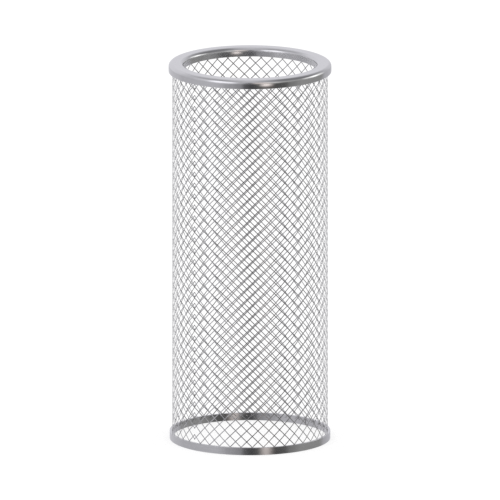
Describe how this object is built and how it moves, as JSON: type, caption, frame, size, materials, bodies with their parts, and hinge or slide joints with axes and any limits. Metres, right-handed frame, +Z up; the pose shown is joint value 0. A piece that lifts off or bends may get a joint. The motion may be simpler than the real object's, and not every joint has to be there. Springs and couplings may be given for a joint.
{
  "type": "umbrella stand",
  "caption": "Open cylinder of welded flat-wire diamond mesh on a flat steel base band, with a wide polished steel rim, for standing umbrellas in.",
  "frame": {"origin": "centre of the base band's lower edge, on the floor", "axes": "+Z up along the axis of the cylinder; the front faces -Y and +X is to the right seen from the front; the seam of the mesh is at the front left"},
  "size_m": [0.2118, 0.2118, 0.5],
  "materials": {
    "polished_sheet": "satin polished stainless sheet",
    "band_steel": "satin polished stainless flat bar",
    "wire_steel": "bright rolled flat steel wire",
    "hidden_steel": "plain mill finish",
    "weld_metal": "cleaned weld metal"
  },
  "bodies": {
    "root": {"rim_cover": "polished_sheet", "rim_closing_ring": "hidden_steel", "rim_tack_welds": "weld_metal", "top_hoop": "hidden_steel", "top_hoop_weld": "weld_metal", "top_spot_welds": "weld_metal", "right_wires_base_to_rim": "wire_steel", "right_wires_base_to_seam": "wire_steel", "right_wires_seam_to_rim": "wire_steel", "left_wires_base_to_rim": "wire_steel", "left_wires_base_to_seam": "wire_steel", "left_wires_seam_to_rim": "wire_steel", "seam_weld_beads": "weld_metal", "base_band": "band_steel", "base_band_weld": "band_steel", "base_spot_welds": "weld_metal"}
  },
  "joints": []
}
